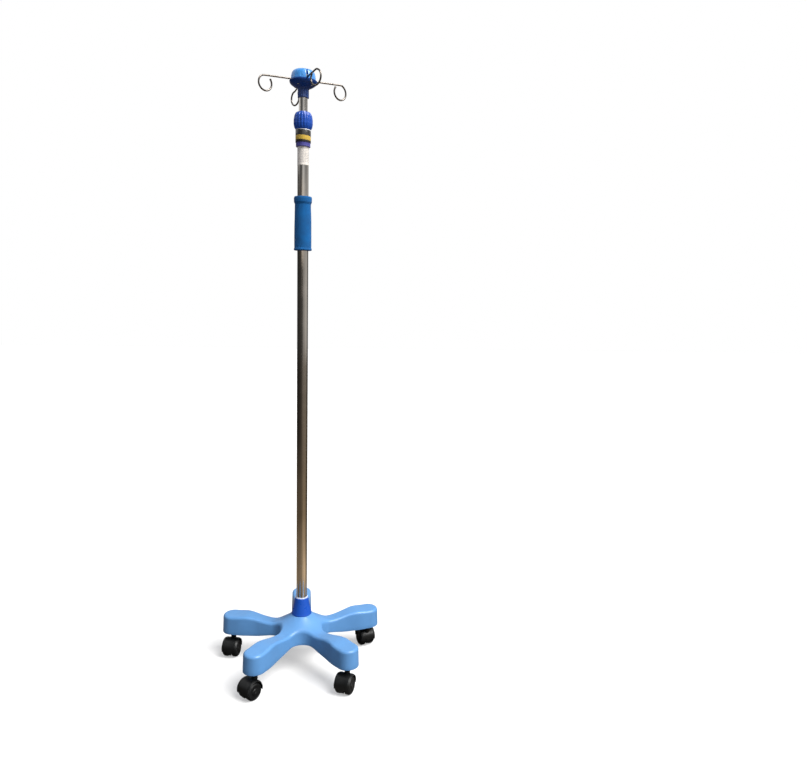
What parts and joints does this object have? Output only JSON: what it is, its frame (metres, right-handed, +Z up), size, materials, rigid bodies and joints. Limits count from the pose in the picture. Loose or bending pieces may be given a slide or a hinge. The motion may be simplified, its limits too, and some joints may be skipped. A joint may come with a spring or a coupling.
{
  "type": "iv pole",
  "caption": "Wheeled infusion stand: star base on swivel casters, telescopic mast with twist lock and foam grip, head with folding bag hooks.",
  "frame": {"origin": "on the floor, on the mast's axis", "axes": "+Z up along the mast; +Y to the back, along one arm of the base; +X to the right"},
  "size_m": [0.4901, 0.4865, 1.751],
  "materials": {
    "base_plastic": "satin moulded, light blue",
    "frame_plastic": "ribbed glass-filled nylon, dark blue grey",
    "royal_plastic": "moulded, royal blue",
    "head_plastic": "moulded, deep blue",
    "cap_plastic": "moulded, clear light blue",
    "lock_plastic": "moulded, black",
    "caster_nylon": "moulded nylon, black",
    "wheel_nylon": "moulded nylon, black",
    "nylon_white": "natural nylon",
    "polished_steel": "polished stainless",
    "hook_wire": "polished stainless wire",
    "zinc_steel": "zinc plated",
    "dark_steel": "moulded, grey",
    "blue_foam": "closed-cell foam, blue",
    "label_film": "printed film, plain",
    "band_film": "banded film"
  },
  "bodies": {
    "base": {"base_shell": "base_plastic", "frame_hub": "frame_plastic", "frame_arms": "frame_plastic", "frame_screws": "zinc_steel", "stem_sockets": "nylon_white", "grip_rings": "zinc_steel", "pole_bolt": "zinc_steel", "bolt_washers": "zinc_steel", "tube_plug": "dark_steel", "base_collar": "royal_plastic", "collar_liner": "nylon_white", "outer_tube": "polished_steel", "foam_grip": "blue_foam", "info_label": "label_film", "lock_body": "lock_plastic", "band_sleeve": "band_film", "collet": "nylon_white", "lock_rivets": "zinc_steel"},
    "lock_knob": {"lock_knob": "royal_plastic"},
    "slider": {"guide_bush": "nylon_white"},
    "upper_mast": {"bush_clip": "zinc_steel", "foot_plug": "dark_steel", "inner_tube": "polished_steel", "head_body": "head_plastic", "neck_screw": "zinc_steel", "head_cap": "cap_plastic", "cap_screws": "zinc_steel", "hook_pins": "zinc_steel"},
    "hook_right": {"hook_right": "hook_wire"},
    "hook_back": {"hook_back": "hook_wire"},
    "hook_left": {"hook_left": "hook_wire"},
    "hook_front": {"hook_front": "hook_wire"},
    "caster_1": {"caster_1_stem": "zinc_steel", "caster_1_hood": "caster_nylon", "caster_1_axle": "zinc_steel"},
    "caster_1_wheel_a": {"caster_1_wheel_a": "wheel_nylon"},
    "caster_1_wheel_b": {"caster_1_wheel_b": "wheel_nylon"},
    "caster_2": {"caster_2_stem": "zinc_steel", "caster_2_hood": "caster_nylon", "caster_2_axle": "zinc_steel"},
    "caster_2_wheel_a": {"caster_2_wheel_a": "wheel_nylon"},
    "caster_2_wheel_b": {"caster_2_wheel_b": "wheel_nylon"},
    "caster_3": {"caster_3_stem": "zinc_steel", "caster_3_hood": "caster_nylon", "caster_3_axle": "zinc_steel"},
    "caster_3_wheel_a": {"caster_3_wheel_a": "wheel_nylon"},
    "caster_3_wheel_b": {"caster_3_wheel_b": "wheel_nylon"},
    "caster_4": {"caster_4_stem": "zinc_steel", "caster_4_hood": "caster_nylon", "caster_4_axle": "zinc_steel"},
    "caster_4_wheel_a": {"caster_4_wheel_a": "wheel_nylon"},
    "caster_4_wheel_b": {"caster_4_wheel_b": "wheel_nylon"},
    "caster_5": {"caster_5_stem": "zinc_steel", "caster_5_hood": "caster_nylon", "caster_5_axle": "zinc_steel"},
    "caster_5_wheel_a": {"caster_5_wheel_a": "wheel_nylon"},
    "caster_5_wheel_b": {"caster_5_wheel_b": "wheel_nylon"}
  },
  "joints": [
    {"name": "lock_turn", "type": "hinge", "parent": "base", "child": "lock_knob", "pos_m": [0, 0, 1.61], "axis": [0, 0, 1], "range_deg": [0, 270]},
    {"name": "mast_height", "type": "slide", "parent": "base", "child": "slider", "axis": [0, 0, 1], "range_m": [-0.034, 0.6]},
    {"name": "mast_turn", "type": "hinge", "parent": "slider", "child": "upper_mast", "pos_m": [0, 0, 1.2], "axis": [0, 0, 1], "continuous": true},
    {"name": "hook_right_fold", "type": "hinge", "parent": "upper_mast", "child": "hook_right", "pos_m": [0.01951, 0.0044, 1.73], "axis": [0.2198, -0.9755, 0], "range_deg": [0, 90]},
    {"name": "hook_back_fold", "type": "hinge", "parent": "upper_mast", "child": "hook_back", "pos_m": [-0.0044, 0.01951, 1.73], "axis": [0.9755, 0.2198, 0], "range_deg": [0, 90]},
    {"name": "hook_left_fold", "type": "hinge", "parent": "upper_mast", "child": "hook_left", "pos_m": [-0.01951, -0.0044, 1.73], "axis": [-0.2198, 0.9755, 0], "range_deg": [0, 90]},
    {"name": "hook_front_fold", "type": "hinge", "parent": "upper_mast", "child": "hook_front", "pos_m": [0.00618, -0.01902, 1.73], "axis": [-0.9511, -0.309, 0], "range_deg": [0, 90]},
    {"name": "caster_1_swivel", "type": "hinge", "parent": "base", "child": "caster_1", "pos_m": [0.21113, 0.0686, 0.08], "axis": [0, 0, 1], "continuous": true},
    {"name": "caster_1_roll_a", "type": "hinge", "parent": "caster_1", "child": "caster_1_wheel_a", "pos_m": [0.20532, 0.08458, 0.025], "axis": [-0.9397, -0.342, 0], "continuous": true},
    {"name": "caster_1_roll_b", "type": "hinge", "parent": "caster_1", "child": "caster_1_wheel_b", "pos_m": [0.20532, 0.08458, 0.025], "axis": [-0.9397, -0.342, 0], "continuous": true},
    {"name": "caster_2_swivel", "type": "hinge", "parent": "base", "child": "caster_2", "pos_m": [0, 0.222, 0.08], "axis": [0, 0, 1], "continuous": true},
    {"name": "caster_2_roll_a", "type": "hinge", "parent": "caster_2", "child": "caster_2_wheel_a", "pos_m": [-0.01093, 0.20898, 0.025], "axis": [0.766, -0.6428, 0], "continuous": true},
    {"name": "caster_2_roll_b", "type": "hinge", "parent": "caster_2", "child": "caster_2_wheel_b", "pos_m": [-0.01093, 0.20898, 0.025], "axis": [0.766, -0.6428, 0], "continuous": true},
    {"name": "caster_3_swivel", "type": "hinge", "parent": "base", "child": "caster_3", "pos_m": [-0.21113, 0.0686, 0.08], "axis": [0, 0, 1], "continuous": true},
    {"name": "caster_3_roll_a", "type": "hinge", "parent": "caster_3", "child": "caster_3_wheel_a", "pos_m": [-0.21553, 0.05218, 0.025], "axis": [0.9659, -0.2588, 0], "continuous": true},
    {"name": "caster_3_roll_b", "type": "hinge", "parent": "caster_3", "child": "caster_3_wheel_b", "pos_m": [-0.21553, 0.05218, 0.025], "axis": [0.9659, -0.2588, 0], "continuous": true},
    {"name": "caster_4_swivel", "type": "hinge", "parent": "base", "child": "caster_4", "pos_m": [-0.13049, -0.1796, 0.08], "axis": [0, 0, 1], "continuous": true},
    {"name": "caster_4_roll_a", "type": "hinge", "parent": "caster_4", "child": "caster_4_wheel_a", "pos_m": [-0.14251, -0.19162, 0.025], "axis": [0.7071, -0.7071, 0], "continuous": true},
    {"name": "caster_4_roll_b", "type": "hinge", "parent": "caster_4", "child": "caster_4_wheel_b", "pos_m": [-0.14251, -0.19162, 0.025], "axis": [0.7071, -0.7071, 0], "continuous": true},
    {"name": "caster_5_swivel", "type": "hinge", "parent": "base", "child": "caster_5", "pos_m": [0.13049, -0.1796, 0.08], "axis": [0, 0, 1], "continuous": true},
    {"name": "caster_5_roll_a", "type": "hinge", "parent": "caster_5", "child": "caster_5_wheel_a", "pos_m": [0.12304, -0.19488, 0.025], "axis": [0.8988, -0.4384, 0], "continuous": true},
    {"name": "caster_5_roll_b", "type": "hinge", "parent": "caster_5", "child": "caster_5_wheel_b", "pos_m": [0.12304, -0.19488, 0.025], "axis": [0.8988, -0.4384, 0], "continuous": true}
  ]
}
